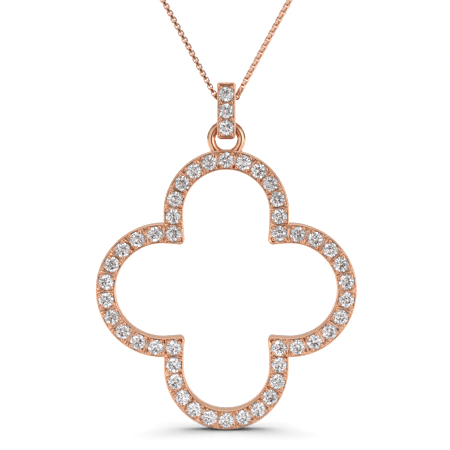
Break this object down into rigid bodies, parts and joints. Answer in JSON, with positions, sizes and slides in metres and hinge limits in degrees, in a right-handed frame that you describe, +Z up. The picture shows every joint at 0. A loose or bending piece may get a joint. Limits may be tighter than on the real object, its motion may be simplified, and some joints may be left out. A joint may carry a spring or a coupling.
{
  "type": "drop pendant",
  "caption": "Open clover-shaped drop pendant set with round brilliants, hanging from a stone-set bail on a fine box chain with a clasp.",
  "frame": {"origin": "where the chain lies at the nape of the neck, at the middle of the clasp", "axes": "+Z up, the pendant hangs towards -Z, the stones face -Y, +X to the right seen from the front"},
  "size_m": [0.1214, 0.0774, 0.1393],
  "materials": {
    "rose_gold": "polished rose gold, cast and bead-set",
    "rose_gold_chain": "polished rose gold wire links",
    "diamond": "clear faceted round brilliant"
  },
  "bodies": {
    "chain": {"chain_left": "rose_gold_chain", "chain_right": "rose_gold_chain", "clasp": "rose_gold"},
    "bail": {"bail": "rose_gold", "bail_stone_top": "diamond", "bail_stone_middle": "diamond", "bail_stone_bottom": "diamond"},
    "drop": {"clover_frame": "rose_gold", "clover_stones": "diamond"}
  },
  "joints": [
    {"name": "bail_swing", "type": "hinge", "parent": "chain", "child": "bail", "pos_m": [0, -0.0755, -0.109], "axis": [1, 0, 0], "range_deg": [-90, 90]},
    {"name": "drop_swing", "type": "hinge", "parent": "bail", "child": "drop", "pos_m": [0, -0.0755, -0.11138], "axis": [1, 0, 0], "range_deg": [-90, 90]}
  ]
}
